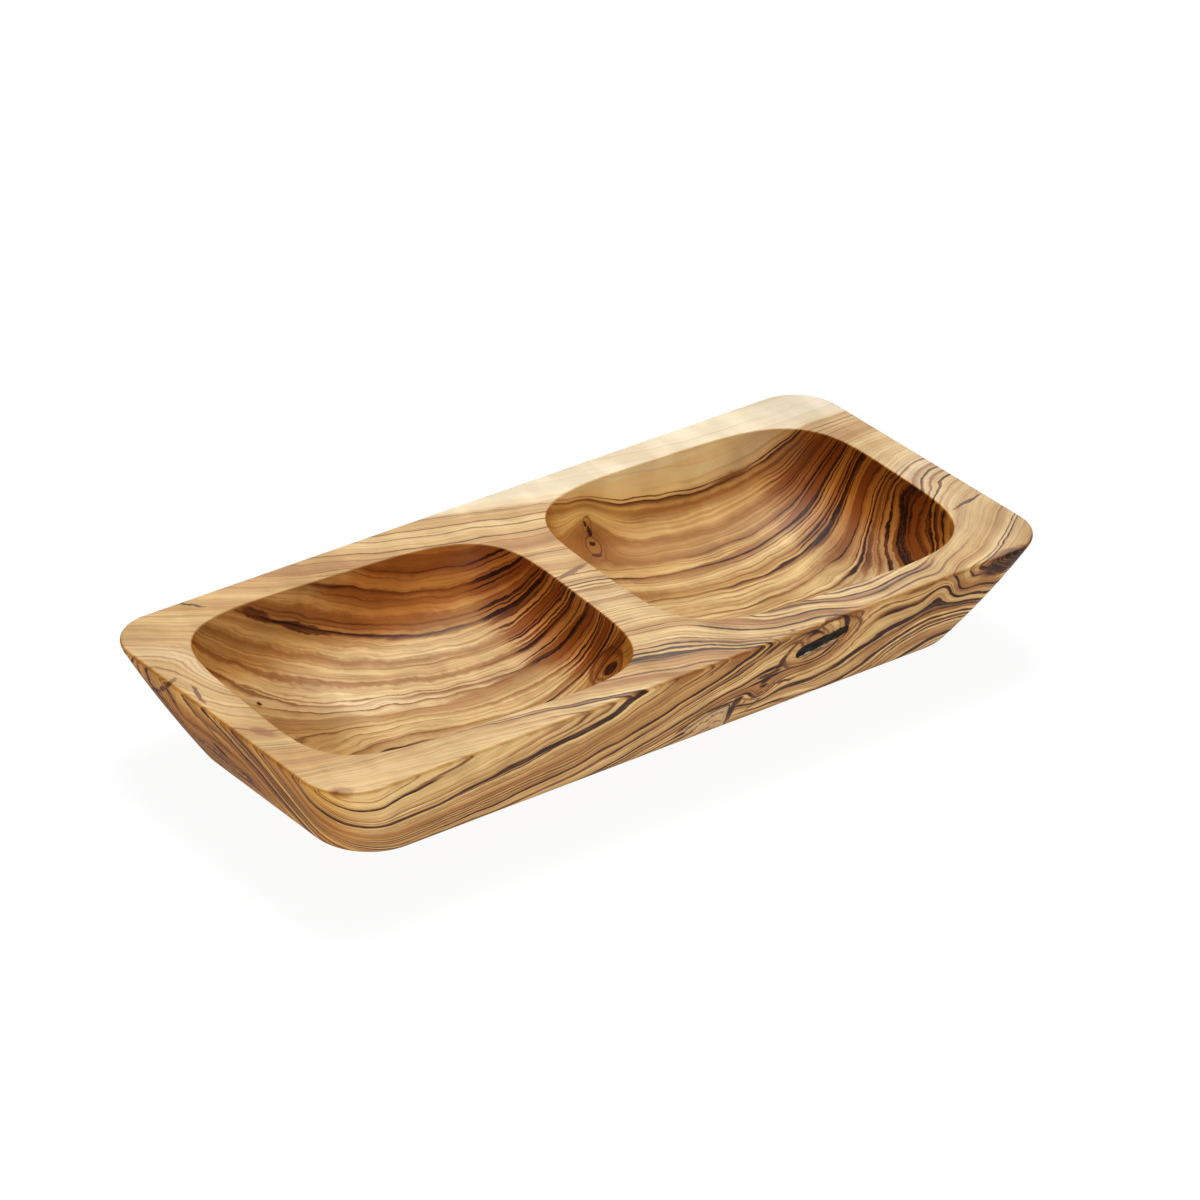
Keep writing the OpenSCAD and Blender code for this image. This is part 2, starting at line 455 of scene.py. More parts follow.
# Colours of the wood, as linear light
SAP = (0.85, 0.73, 0.52)
CREAM = (0.88, 0.69, 0.41)
HONEY = (0.85, 0.62, 0.29)
TAN = (0.70, 0.44, 0.165)
BROWN = (0.37, 0.165, 0.05)
PLUM = (0.14, 0.054, 0.029)
NIGHT = (0.04, 0.018, 0.012)
SOOT = (0.012, 0.009, 0.007)

BARK_GREY = (0.16, 0.12, 0.09)
# Painted highlight along the bark's lower lip
BARK_LIP_HIGHLIGHT = (0.5, 0.4, 0.3)
KNOT_SKIN = (0.56, 0.37, 0.18)
KNOT_GOLD = (0.80, 0.56, 0.24)
# The knot's own darker tone, with the same painted warmth as the outer walls round it
KNOT_PAINTED_WARMTH = (0.88, 0.80, 0.76)
KNOT_RINGS = [
    (0.0, BROWN), (0.34, TAN), (0.46, KNOT_GOLD), (0.52, PLUM), (0.56, TAN), (0.63, KNOT_GOLD),
    (0.67, BROWN), (0.7, TAN), (0.76, KNOT_GOLD), (0.8, PLUM), (0.85, TAN), (1.0, KNOT_GOLD),
]
KNOT_WOBBLE = 0.22
KNOT_GRAIN = (1.5, 1.5, 4)

# Gloss of each finish, and its relief: strength, and distance in metres
WOOD_GLOSS = 0.1
BARK_GLOSS = 0.2
KNOT_GLOSS = 0.14
WOOD_RELIEF = (0.15, 0.0002)
BARK_RELIEF = (0.5, 0.0004)
BARK_GRAIN = (0.5, 1.6, 1.6)

# End grain soaks up more oil: how far a face turns towards it, and what it takes from the colour
END_GRAIN_SPAN = (0.3, 0.85)
END_GRAIN = (0.89, 0.71, 0.34)
# Painted light: slanting walls inside the bowls, and the outer walls, are made warmer than the flat rim,
# standing in for the pale reflection that only the flat rim takes and, inside the bowls, for warm light
# bounced off the wood
BOWL_WALL_PAINTED_WARMTH = (0.97, 0.79, 0.58)
OUTER_WALL_PAINTED_WARMTH = (1.02, 0.935, 0.83)

# Clouds where the fibres wave, and painted shade along the edge of the base, darkest where it meets the
# floor
CLOUD = (0.86, 0.84, 0.8)
BASE_PAINTED_SHADE = (0.7, 0.62, 0.55)
BASE_SHADE_SPAN = (4.0, 0.5)
# The flat rim darkens a little towards its ends, and has a painted sheen: a pale veil standing in for the
# reflection of the bright backdrop on the flat top
LEFT_RIM_WARMTH = (0.90, 0.85, 0.78)
RIGHT_RIM_WARMTH = (0.90, 0.92, 0.97)
RIM_SHEEN = (0.95, 0.82, 0.70)
RIM_SHEEN_SHARE = 0.1
# Where the left and right ends of the rim begin and are reached, and the bark in the right corner
LEFT_RIM_SPAN = (-10, -95)
RIGHT_RIM_SPAN = (86, 98)
CORNER_BARK_SPAN = (80, 88)
# How far a face turns up, inside a bowl, or down, on an outer wall
FACING_UP = (0.0, 0.1)
FACING_DOWN = (0.0, -0.2)
BOWL_SLANT = (0.97, 0.75)
# Depth below the rim at which the inside of a bowl begins
LIP_DROP = 0.4
# Share of an oval's reach within which it has its full strength
OVAL_CORE = 0.6

# Painted light and shade in the bowls, as ovals that also make the lines stronger: centre, half sizes,
# what it takes from the colour (darker, redder walls stand in for shade and warm bounce light; the right
# bowl's back wall is painted lighter), stronger lines
BOWL_LIGHT_SHADE_AND_LINES = {
    "left bowl back": ((-22, 42, 19), (40, 20, 20), (0.97, 0.74, 0.54), 1.1),
    "left bowl right": ((-2, 5, 20), (18, 42, 21), (0.90, 0.76, 0.88), 3.4),
    "left bowl left": ((-92, 12, 14), (34, 44, 15), (0.71, 0.59, 0.43), 0.8),
    "right bowl back": ((44, 42, 28), (46, 13, 13), (1.46, 1.62, 1.52), 0.7),
    "right bowl right": ((98, 3, 18), (26, 48, 20), (0.65, 0.49, 0.38), 3.8),
    "left bowl floor": ((-55, -5, 9), (42, 34, 9), (1.0, 1.0, 1.0), 0.75),
    "right bowl floor": ((55, -5, 9), (38, 34, 9), (0.95, 0.96, 0.95), 1.6),
    "right bowl left": ((30, 8, 14), (24, 34, 14), (0.98, 0.96, 0.94), 0.55),
}

# Places where the lines are stronger, as ovals: centre, half sizes, how much stronger
CROWDED = {
    "front rim": ((22, -44, 30), (60, 13, 5), 3.0),
    "right rim": ((104, 0, 30), (15, 60, 4), 1.5),
    "calm part of the right rim": ((104, -6, 30), (14, 22, 4), 0.75),
    "front wall on the right": ((85, -46, 16), (45, 14, 18), 1.6),
    "zigzag on the right": ((84, -46, 20), (18, 10, 9), 1.6),
    "front wall in the middle": ((10, -44, 14), (60, 14, 14), 1.3),
    "left wall": ((-106, 0, 14), (12, 62, 17), 1.9),
}

# Base colour of the wood by ring depth
TONE_RANGE = (-84, 78)
TONES = [
    (-80, SAP), (-58, SAP), (-53, CREAM), (-49, TAN), (-44, HONEY), (-37, TAN), (-31, BROWN),
    (-28, TAN), (-22, HONEY), (-16, TAN), (-11, HONEY), (-4, HONEY), (4, CREAM), (9, HONEY),
    (20, HONEY), (27, TAN), (34, HONEY), (41, TAN), (50, TAN), (55, HONEY), (62, HONEY), (74, HONEY),
]

# How crowded the fine lines are, by ring depth
CROWDS = [(-80, 0.06), (-56, 0.1), (-50, 0.5), (-40, 0.35), (-28, 0.7), (-14, 0.5), (0, 0.6), (10, 0.75),
          (16, 0.95), (50, 1.0), (58, 0.8), (64, 0.45), (76, 0.3)]

# Dark rings, zone by zone: depth, width of the sharp side, width of the fading side, darkness
RING_ZONES = {
    (-84, -54): [
        (-74, 0.5, 1.2, 0.08), (-70, 0.4, 1.0, 0.10), (-65.3, 0.5, 0.9, 0.16), (-60, 0.4, 0.8, 0.1)],
    (-54, -27): [
        (-52.0, 0.35, 0.5, 0.8), (-50.6, 0.4, 1.8, 0.75), (-47.2, 0.8, 1.2, 0.3), (-44.5, 0.4, 0.7, 0.2),
        (-41.5, 0.5, 0.9, 0.25), (-38.6, 0.3, 0.6, 0.2), (-36.5, 0.4, 0.7, 0.3), (-33.5, 0.4, 0.7, 0.3),
        (-30.4, 0.4, 0.9, 0.65), (-28.6, 0.3, 0.6, 0.4)],
    (-27, -7): [
        (-25.1, 0.6, 1.0, 1.0), (-23.2, 0.3, 0.4, 0.5), (-21.8, 0.25, 0.3, 0.3), (-19.4, 0.3, 0.5, 0.25),
        (-17.3, 0.7, 0.5, 0.6), (-16.2, 0.3, 0.3, 0.55), (-14.8, 0.5, 1.4, 1.0), (-12.6, 0.3, 0.5, 0.35),
        (-9.2, 0.5, 0.6, 0.22)],
    (-7, 14): [
        (-6.2, 0.3, 0.4, 0.5), (-3.4, 0.2, 0.3, 0.3), (-2.3, 0.3, 0.4, 0.55), (0.2, 0.25, 0.3, 0.2),
        (2.2, 0.3, 0.5, 0.45), (5.3, 0.3, 0.5, 0.5), (8.0, 0.25, 0.3, 0.4), (9.6, 0.25, 0.4, 0.4),
        (11.1, 0.3, 0.5, 0.6), (13.2, 0.25, 0.4, 0.5)],
    (14, 37): [
        (15.2, 0.25, 0.3, 0.35), (17.3, 0.3, 0.5, 0.6), (19.6, 0.25, 0.3, 0.3), (21.9, 0.3, 0.4, 0.5),
        (24.2, 0.3, 0.4, 0.55), (25.8, 0.3, 0.5, 0.6), (28.5, 0.3, 0.5, 0.5), (31.0, 0.25, 0.4, 0.4),
        (34.2, 0.3, 0.6, 0.6), (36.0, 0.2, 0.3, 0.3)],
    (37, 58): [
        (38.2, 0.3, 0.4, 0.45), (40.6, 0.3, 0.4, 0.5), (42.0, 0.3, 0.5, 0.55), (44.6, 0.25, 0.4, 0.4),
        (46.6, 0.4, 0.5, 0.65), (48.6, 0.4, 0.5, 0.65), (52.0, 0.3, 0.5, 0.65), (54.0, 0.2, 0.3, 0.3),
        (56.4, 0.3, 0.4, 0.6)],
    (58, 78): [
        (58.8, 0.4, 0.8, 0.5), (61.0, 0.2, 0.4, 0.2), (63.0, 0.3, 0.5, 0.3), (66.0, 0.2, 0.3, 0.15),
        (69.2, 0.4, 0.6, 0.6), (72.6, 0.3, 0.5, 0.4)],
}

# Smoky brown bands beside the dark rings, in the same form
SMOKE_ZONES = {
    (-84, -3): [
        (-47.5, 1.5, 4.5, 0.55), (-37.5, 1.5, 3.0, 0.5), (-31.0, 1.0, 2.0, 0.7), (-25.0, 0.8, 2.4, 0.6),
        (-17.6, 2.6, 3.0, 0.9), (-8.2, 1.4, 2.6, 0.55)],
    (-3, 78): [
        (-1.6, 1.3, 1.0, 0.7), (5.6, 0.6, 2.0, 0.45), (11.3, 0.6, 1.8, 0.55), (17.6, 0.6, 2.2, 0.6),
        (25.6, 0.8, 2.6, 0.7), (34.2, 0.8, 2.4, 0.6), (42.0, 0.8, 2.2, 0.6), (47.6, 1.6, 2.6, 0.85),
        (53.2, 0.8, 2.0, 0.6), (57.4, 0.8, 1.6, 0.5)],
}


# Rings that repeat: spacing in millimetres, shift, widths of the sharp and the fading side and share
# of rings left out; then how their spacing drifts
SHADE_RINGS = (11.0, 5.0, 0.06, 0.5, 0.1)
WIDE_RINGS = (5.2, 2.0, 0.07, 0.32, 0.35)
FINE_RINGS = (1.7, 9.0, 0.22, 0.4, 0.2)
DRIFT_PITCH = 0.35
DRIFT_REACH = 1.4
SHADE_SHARE = 0.9
SMOKE_LIMIT = 0.85

# Strength of each layer on the rim, at the rim's left and right ends, in the bowls and on the outer walls
STRENGTHS = {
    "shade": (0.7, 0.5, 1.0, 1.6, 1.0),
    "smoke": (0.35, 0.7, 0.7, 1.3, 1.0),
    "wide": (0.45, 0.35, 0.7, 0.6, 1.5),
    "fine": (1.4, 0.3, 0.75, 0.42, 1.5),
    "rings": (0.48, 0.45, 0.8, 1.0, 1.15),
}

# Noises along the rings, in waves to a millimetre: along the dish and up it
GRAIN_ALONG = 0.014
GRAIN_UP = 0.02
# Across the rings, and a shift
BANDS = (0.07, 3.0)
HAIRS = (1.3, 11.0)
# Across the rings and along the dish
FAINT_PATCHES = (0.3, 0.03)
BUNDLES = (0.13, 0.012)
BUNDLE_SHIFT = 7.0
BREAKS = (0.55, 0.028)
BREAKS_UP = 0.04
FLECKS = (2.2, 0.1)
FLECKS_UP = 0.1

# Noises in the block, in waves to a millimetre along each axis
STROKES = (0.5, 0.1, 0.1)
STROKE_REACH = 1.0
SPECKS = (0.5, 0.9, 0.9)
CLOUDS = (0.11, 0.05, 0.08)
PORES = (0.25, 2.2, 2.2)
# How the outlines of the marks waver: waves to a millimetre, and reach in millimetres
MARK_WAVE = 0.4
MARK_WAVE_REACH = (1.5, 1.5, 1.5)

# How dark a mark is from its middle out to its edge
BLOT = [(0.0, 1.0), (0.65, 1.0), (1.0, 0.0)]
SMUDGE = [(0.0, 0.8), (1.0, 0.0)]
EYE = [(0.0, 1.0), (0.2, 1.0), (0.32, 0.15), (0.55, 0.1), (0.72, 0.9), (0.82, 0.3), (0.9, 0.5), (1.0, 0.0)]
SOFT_RING = [(0.0, 0.0), (0.6, 0.0), (0.82, 1.0), (1.0, 0.0)]
OUTLINE = [(0.0, 0.0), (0.82, 0.0), (0.9, 1.0), (0.94, 0.8), (1.0, 0.0)]
EYE_PLACE, EYE_OUT = (27.1, 32.3, 16.8), (0.228, -0.512, 0.828)
CORNER_PLACE, CORNER_OUT = (-10.5, -25.1, 21), (-0.702, 0.291, 0.65)
LEFT_OUT = (-0.89, 0, -0.46)


def by_eye(shift, turn=0.0):
    """Frame beside the eye in the right bowl."""
    return on_slope(EYE_PLACE, EYE_OUT, shift, turn)


def by_bowl_knot(shift, turn=0.0):
    """Frame beside the knot in the left bowl's corner."""
    return on_slope(CORNER_PLACE, CORNER_OUT, shift, turn)


def on_left(place, turn):
    """Frame on the left wall."""
    return on_slope(place, LEFT_OUT, turn=turn)


# Dark marks in the wood: frame, half sizes, course from middle to edge, darkness
DARK_MARKS = {
    "outline round the bark": (BARK_FRAME, (12.5, 8.2, 5), OUTLINE, 0.8),
    "line under the bark": (on_front(38.5, 19.6, 12), (8.5, 0.7, 4), BLOT, 0.6),
    "bark's left end": (on_front(25.6, 20.4, 75), (4.0, 1.3, 4), BLOT, 0.9),
    "bark's tail": (on_front(22.8, 17.3, 4), (4.6, 1.0, 4), BLOT, 0.85),
    "corner bark": (Matrix.Translation((96, -50.5, 26.3)), (12.5, 4.2, 5.6), BLOT, 0.97),
    "knot's right side": (on_front(15.3, 7.6, 97), (6.4, 1.3, 4), BLOT, 0.97),
    "bark at the knot's top": (on_front(15.9, 10.6, 62), (2.5, 1.6, 4), BLOT, 0.95),
    "bark beside the knot": (on_front(18.6, 9.0, 75), (3.0, 0.9, 4), SMUDGE, 0.8),
    "bark over the knot": (on_front(9.0, 10.9, 4), (7.0, 0.9, 4), BLOT, 0.97),
    "bark left of the knot": (on_front(1.2, 8.0, 38), (5.4, 0.8, 4), BLOT, 0.9),
    "swirl knot": (on_front(22.9, 10.6, 30), (3.6, 2.6, 4), EYE, 0.8),
    "swirl knot's line": (on_front(29.5, 11.9, -12), (5.5, 0.6, 4), BLOT, 0.8),
    "swirl knot's foot": (on_front(22.6, 6.6, 45), (3.2, 0.8, 4), BLOT, 0.6),
    "pupil": (by_eye((0.6, 0.4)), (1.2, 1.0, 3), BLOT, 0.95),
    "eye": (by_eye((0.3, -0.2), 54), (3.7, 2.8, 4), SOFT_RING, 0.8),
    "eye's outer ring": (by_eye((0.2, -0.4), 54), (5.8, 4.3, 6), SOFT_RING, 0.45),
    "eye's lower lid": (by_eye((-1.6, -2.6), -30), (2.3, 0.9, 3), BLOT, 0.8),
    "small eye": (by_eye((2.8, 3.2), 55), (2.0, 1.0, 4), BLOT, 1.0),
    "smallest eye": (by_eye((3.0, 5.3), 60), (1.0, 0.7, 4), BLOT, 1.0),
    "small eye's ring": (by_eye((3.3, 4.6), 55), (3.3, 1.9, 4), SOFT_RING, 0.6),
    "bowl knot": (by_bowl_knot((0.2, -0.2), 63), (3.3, 2.5, 4), BLOT, 1.0),
    "bowl knot's ring": (by_bowl_knot((-0.5, -0.2), 63), (5.2, 4.3, 5), SOFT_RING, 0.65),
    "bowl knot's arch": (by_bowl_knot((-0.9, -0.7), 20), (7.2, 6.2, 6), SOFT_RING, 0.7),
    "near corner knot": (on_top(-106.3, -45.5, -35), (2.0, 1.3, 1.5), SMUDGE, 0.9),
    "first bend of the left crack": (on_left((-106.7, 30.2, 21.7), 30), (4.2, 0.9, 3), BLOT, 0.9),
    "second bend of the left crack": (on_left((-108.3, 24.9, 25), 40), (3.8, 0.9, 3), BLOT, 0.8),
    "third bend of the left crack": (on_left((-109.5, 20.5, 28.4), 39), (3.2, 0.8, 3), BLOT, 0.8),
    "left crack on the rim": (on_top(-107.6, 10.5, 75), (5.4, 0.7, 1.5), BLOT, 0.7),
    "dark patch on the left wall": (on_left((-102.5, 8.6, 13.4), -35), (3.6, 1.5, 4), BLOT, 0.95),
    "low patch on the left wall": (on_left((-99.9, 1.1, 8.5), -35), (3.0, 1.1, 4), BLOT, 0.9),
    "line through the left patches": (on_left((-101.5, 5.5, 11.5), -35), (11, 0.7, 4), BLOT, 0.7),
    "high line on the left wall": (on_left((-106, 6, 20), -48), (9, 0.8, 4), BLOT, 0.6),
    "crack in the left rim": (on_top(-84.8, 47.4, -50), (4.2, 0.6, 1.5), BLOT, 0.9),
    "crack in the right rim": (on_top(103.7, -23.6, 10), (7.0, 0.7, 1.5), BLOT, 0.85),
    "dark band high in the left bowl": (
        on_slope((-70.5, 39.7, 25.9), (0, -0.98, 0.19), turn=-35), (6.8, 1.6, 4), BLOT, 0.85),
    "dark band lower in the left bowl": (
        on_slope((-59.1, 36.9, 19.7), (0, -0.81, 0.585), turn=-30), (9.5, 1.5, 4), BLOT, 0.85),
    "flare in the right bowl": (
        on_slope((74.7, 36, 19.9), (-0.17, -0.77, 0.62), turn=13), (10, 1.6, 4), SMUDGE, 0.95),
    "streak over the divider": (on_top(0.6, 6, 12), (6.5, 1.2, 1.5), BLOT, 0.62),
    "wormhole": (Matrix.Translation((-82.7, 21.2, 13.7)), (0.9, 0.9, 0.9), BLOT, 1.0),
    "first pin knot": (on_top(20.3, -48.5), (1.1, 0.9, 1.5), SMUDGE, 0.9),
    "second pin knot": (on_top(24.4, -49.1), (0.8, 0.8, 1.5), SMUDGE, 0.7),
    "third pin knot": (on_top(27.2, -48.7), (1.2, 0.9, 1.5), SMUDGE, 1.0),
    "fourth pin knot": (on_top(30.1, -49.0), (1.1, 0.8, 1.5), SMUDGE, 0.6),
}

# Brown wood round the knots: frame, half sizes, strength
BROWN_MARKS = {
    "round the bark": (BARK_FRAME, (11.5, 7.0, 5), 0.5),
    "round the eye": (by_eye((-0.5, 0.5), 49), (9.5, 6.0, 6), 0.75),
    "right of the eye": (by_eye((6.5, -2.8), -35), (6.5, 2.2, 5), 0.7),
    "round the bowl knot": (by_bowl_knot((-1.5, 1.0)), (6.0, 6.0, 6), 0.6),
    "near corner": (on_top(-105.5, -45.8, -35), (4.0, 2.6, 2.5), 0.6),
    "left rim patch": (on_top(-104.9, -13, -66), (4.5, 2.0, 2.5), 0.9),
    "zigzag": (on_front(87, 24), (13, 6, 5), 0.5),
}


def oval_group():
    """How far a point lies from the middle of an oval, as a share of the way to its edge."""
    tree, board, start, end = new_group(
        "oval", {"Point": "vector", "Centre": "vector", "Turn": "vector", "Half": "vector"},
        {"Reach": "value"})
    near = board.put("ShaderNodeMapping", {"Vector": start["Point"], "Location": start["Centre"],
                                           "Rotation": start["Turn"], "Scale": start["Half"]},
                     vector_type="TEXTURE").outputs[0]
    board.feed(end["Reach"], board.vector("LENGTH", near))
    return tree


def reach_of(board, oval, point, place, half):
    feeds = {"Point": point, "Centre": place.to_translation(), "Turn": place.to_euler(), "Half": half}
    return board.use(oval, feeds)["Reach"]


def swell_group():
    """Soft bump round a centre, by which a knot pushes the rings aside."""
    tree, board, start, end = new_group(
        "knot swell", {"Point": "vector", "Centre": "vector", "Radius": "value", "Height": "value"},
        {"Swell": "value"})
    away = board.vector("SUBTRACT", start["Point"], start["Centre"])
    far = board.math("DIVIDE", board.vector("DOT_PRODUCT", away, away),
                     board.math("MULTIPLY", start["Radius"], start["Radius"]))
    fall = board.math("EXPONENT", board.math("MULTIPLY", far, -1.0))
    board.feed(end["Swell"], board.math("MULTIPLY", fall, start["Height"]))
    return tree


def ring_depth_group(swell):
    """How deep a point lies in the block, counted ring by ring."""
    tree, board, start, end = new_group("ring depth", {"Point": "vector"}, {"Depth": "value"})
    point = start["Point"]
    off = board.vector("SUBTRACT", point, RING_MIDDLE)
    bend = board.joined(*[board.vector("DOT_PRODUCT", off, row) for row in RING_BENDS])
    slope = board.vector("ADD", bend, RING_LEAN)
    depth = board.vector("DOT_PRODUCT", off, slope)
    for centre, radius, height in RING_SWELLS.values():
        grown = board.use(swell, {"Point": point, "Centre": centre, "Radius": radius, "Height": height})
        depth = board.math("ADD", depth, grown["Swell"])
    long_wave = board.noise(point, LONG_WAVE, 1.0)
    short_wave = board.noise(point, SHORT_WAVE, 0.5)
    depth = board.moved(depth, long_wave, WAVE_REACH)
    depth = board.moved(depth, short_wave, WAVE_REACH)
    depth = board.moved(depth, board.drawn_out(point, FIBRES, 2.0, 0.55), FIBRE_REACH)
    board.feed(end["Depth"], depth)
    return tree


def ring_lines(board, depth, zones):
    """Mask of the rings in these zones, strongest where they meet."""
    lines = 0.0
    for (first, last), rings in zones.items():
        place = board.span(depth, first, last, kind="LINEAR")
        stops = [(0.0, 0)]
        for middle, sharp, fade, dark in rings:
            for where, value in ((middle - sharp, 0), (middle, dark), (middle + fade, 0)):
                stops.append(((where - first) / (last - first), value))
        lines = board.math("MAXIMUM", lines, board.course(place, stops))
    return lines


def by_depth(rows):
    """Stops of a ramp, from rows that begin with a ring depth."""
    first, last = TONE_RANGE
    return [((place - first) / (last - first), value) for place, value in rows]


def olive_figure_group(ring_depth, oval):
    """Colour, roughness and grain height of the olive wood at a point.

    The renderer draws the wood plain black if too many values wait at once, so masks stay few and
    come from a ramp's alpha."""
    tree, board, start, end = new_group(
        "olive figure", {"Point": "vector", "Facing": "vector"},
        {"Colour": "colour", "Roughness": "value", "Grain": "value"})
    point = board.vector("MULTIPLY", start["Point"], PER_METRE)
    depth = board.use(ring_depth, {"Point": point})["Depth"]
    x, _, z = board.split(point)
    along = board.math("MULTIPLY", x, GRAIN_ALONG)
    up = board.math("MULTIPLY", z, GRAIN_UP)

    def layer(pitch, shift):
        """Noise drawn out along the rings, with this many waves to a millimetre across them."""
        across = board.math("ADD", board.math("MULTIPLY", depth, pitch), shift)
        return board.noise(board.joined(across, along, up), 1.0, 0.0)

    def patches(across, lengthwise, height):
        """Noise in patches along the rings, at a height that is already in waves."""
        run = board.joined(board.math("MULTIPLY", depth, across),
                           board.math("MULTIPLY", x, lengthwise), height)
        return board.noise(run, 1.0, 1.0)

    def growth_rings(period, shift, sharp, fade, rare):
        """Rings of uneven spacing and strength, some left out, each with a sharp and a fading side."""
        drift = board.noise(board.joined(board.math("MULTIPLY", depth, DRIFT_PITCH / period),
                                         board.math("ADD", along, shift), up), 1.0, 1.0)
        phase = board.math("ADD", board.math("DIVIDE", depth, period),
                           board.span(drift, 0, 1, shift, shift + DRIFT_REACH, "LINEAR"))
        number = board.math("FLOOR", phase)
        chance = board.put("ShaderNodeTexWhiteNoise", {"W": number}, noise_dimensions="1D")
        strength, spacing, _ = board.split(chance.outputs["Color"])
        inside = board.math("SUBTRACT", board.math("FRACT", phase),
                            board.span(spacing, 0, 1, sharp, 1 - fade, "LINEAR"))
        line = board.math("MULTIPLY", board.span(inside, -sharp, 0),
                          board.span(inside, 0, fade, 1.0, 0.0))
        return board.math("MULTIPLY", line, board.span(strength, rare, 1.0, kind="LINEAR"))

    # Base tone, and how crowded the lines are
    share = board.span(depth, *TONE_RANGE, kind="LINEAR")
    tone = board.ramp(share, [(place, opaque(colour)) for place, colour in by_depth(TONES)])
    crowd = board.course(share, by_depth(CROWDS))
    painted_lights, boost = [], 1.0
    below_rim = board.span(z, BLOCK_H, BLOCK_H - LIP_DROP)
    # Ovals of painted light and shade in the bowls, which also make the lines stronger
    for centre, half, painted_tint, stronger in BOWL_LIGHT_SHADE_AND_LINES.values():
        reach = reach_of(board, oval, point, Matrix.Translation(centre), half)
        light_shade_and_lines = board.math("MULTIPLY", board.span(reach, 1.0, OVAL_CORE), below_rim)
        boost = board.math("MULTIPLY", boost, board.span(light_shade_and_lines, 0, 1, 1, stronger, "LINEAR"))
        painted_lights.append((light_shade_and_lines, painted_tint))
    crowd = board.math("MULTIPLY", crowd, boost)
    for centre, half, stronger in CROWDED.values():
        reach = reach_of(board, oval, point, Matrix.Translation(centre), half)
        crowd = board.math("MULTIPLY", crowd, board.span(reach, 1.0, OVAL_CORE, 1.0, stronger))

    # Faces of the dish
    turned = board.split(start["Facing"])
    bowl = board.math("MULTIPLY", board.span(turned[2], *FACING_UP), below_rim)
    outer = board.span(turned[2], *FACING_DOWN)
    rim = board.span(z, BLOCK_H - 1, BLOCK_H)
    left_rim = board.math("MULTIPLY", board.span(x, *LEFT_RIM_SPAN), rim)
    right_rim = board.math("MULTIPLY", board.span(x, *RIGHT_RIM_SPAN), rim)

    def eased(mask, strengths):
        """A mask made weaker or stronger on each face."""
        for face, strength in zip((rim, left_rim, right_rim, bowl, outer), strengths):
            mask = board.math("MULTIPLY", mask, board.span(face, 0, 1, 1.0, strength, "LINEAR"))
        return mask

    # Broad shades, smoky bands and hairlines
    bands, hairs = layer(*BANDS), layer(*HAIRS)
    colour = board.stain(tone, board.span(bands, 0.45, 0.75, 0, 0.5), TAN)
    shade = eased(growth_rings(*SHADE_RINGS), STRENGTHS["shade"])
    shade = board.math("MULTIPLY", shade, board.math("MULTIPLY", crowd, SHADE_SHARE))
    colour = board.stain(colour, shade, BROWN)
    ragged = board.moved(depth, board.drawn_out(point, STROKES), STROKE_REACH)
    smoke = board.math("MULTIPLY", ring_lines(board, ragged, SMOKE_ZONES),
                       board.span(bands, 0.35, 0.65, 0.45, 1.3))
    smoke = eased(smoke, STRENGTHS["smoke"])
    colour = board.stain(colour, board.math("MINIMUM", smoke, SMOKE_LIMIT), BROWN)
    heartwood = board.span(crowd, 0.1, 0.5, 0.1, 1.0)
    streak = board.math("MULTIPLY", board.span(hairs, 0.35, 0.7, 0.0, 0.3), heartwood)
    colour = board.stain(colour, streak, BROWN)

    # Dark rings and lines
    faint = patches(*FAINT_PATCHES, up)
    bundle = patches(*BUNDLES, board.math("ADD", up, BUNDLE_SHIFT))
    wide, fine = growth_rings(*WIDE_RINGS), growth_rings(*FINE_RINGS)
    wide = board.math("MULTIPLY", wide, board.span(faint, 0.35, 0.6, 0.4, 2.6))
    wide = eased(wide, STRENGTHS["wide"])
    fine = board.math("MULTIPLY", fine, board.span(bundle, 0.4, 0.6, 0.25, 1.8))
    fine = eased(fine, STRENGTHS["fine"])
    lines = board.math("MULTIPLY", board.math("MAXIMUM", wide, fine), crowd)
    broken = patches(*BREAKS, board.math("MULTIPLY", z, BREAKS_UP))
    rings = board.math("MULTIPLY", ring_lines(board, depth, RING_ZONES),
                       board.span(broken, 0.35, 0.65, 0.55, 1.25))
    rings = board.math("MULTIPLY", rings, board.math("MAXIMUM", boost, 1.0))
    dark = board.math("MAXIMUM", lines, eased(rings, STRENGTHS["rings"]))

    # Marks, with wavering outlines
    wave = board.noise(point, MARK_WAVE).node.outputs["Color"]
    wave = board.vector("MULTIPLY", board.vector("SUBTRACT", wave, (0.5, 0.5, 0.5)), MARK_WAVE_REACH)
    wavy = board.vector("ADD", point, wave)
    for place, half, course, strength in DARK_MARKS.values():
        reach = reach_of(board, oval, wavy, place, half)
        mark = board.course(reach, [(where, value * strength) for where, value in course])
        dark = board.math("MAXIMUM", dark, mark)
    dark = board.math("MINIMUM", dark, 1.0)
    for place, half, strength in BROWN_MARKS.values():
        reach = reach_of(board, oval, wavy, place, half)
        colour = board.stain(colour, board.span(reach, 1.0, 0.5, 0.0, strength), BROWN)
    colour = board.stain(colour, board.span(dark, 0.0, 0.45, 0.0, 0.8, "LINEAR"), BROWN)
    colour = board.stain(colour, board.span(dark, 0.3, 0.8, kind="LINEAR"), PLUM)
    colour = board.stain(colour, board.span(dark, 0.8, 1.0), NIGHT)
    specks = board.drawn_out(point, SPECKS, 3.0)
    speck = board.math("MULTIPLY", board.span(specks, 0.55, 0.68, 0.0, 0.5),
                       board.span(x, *CORNER_BARK_SPAN))
    speck = board.math("MULTIPLY", speck, board.span(dark, 0.8, 0.9))
    colour = board.stain(colour, speck, BARK_GREY)
    flecks = patches(*FLECKS, board.math("MULTIPLY", z, FLECKS_UP))
    fleck = board.math("MULTIPLY", board.span(flecks, 0.5, 0.72, 0.0, 0.45), heartwood)
    colour = board.stain(colour, fleck, BROWN)
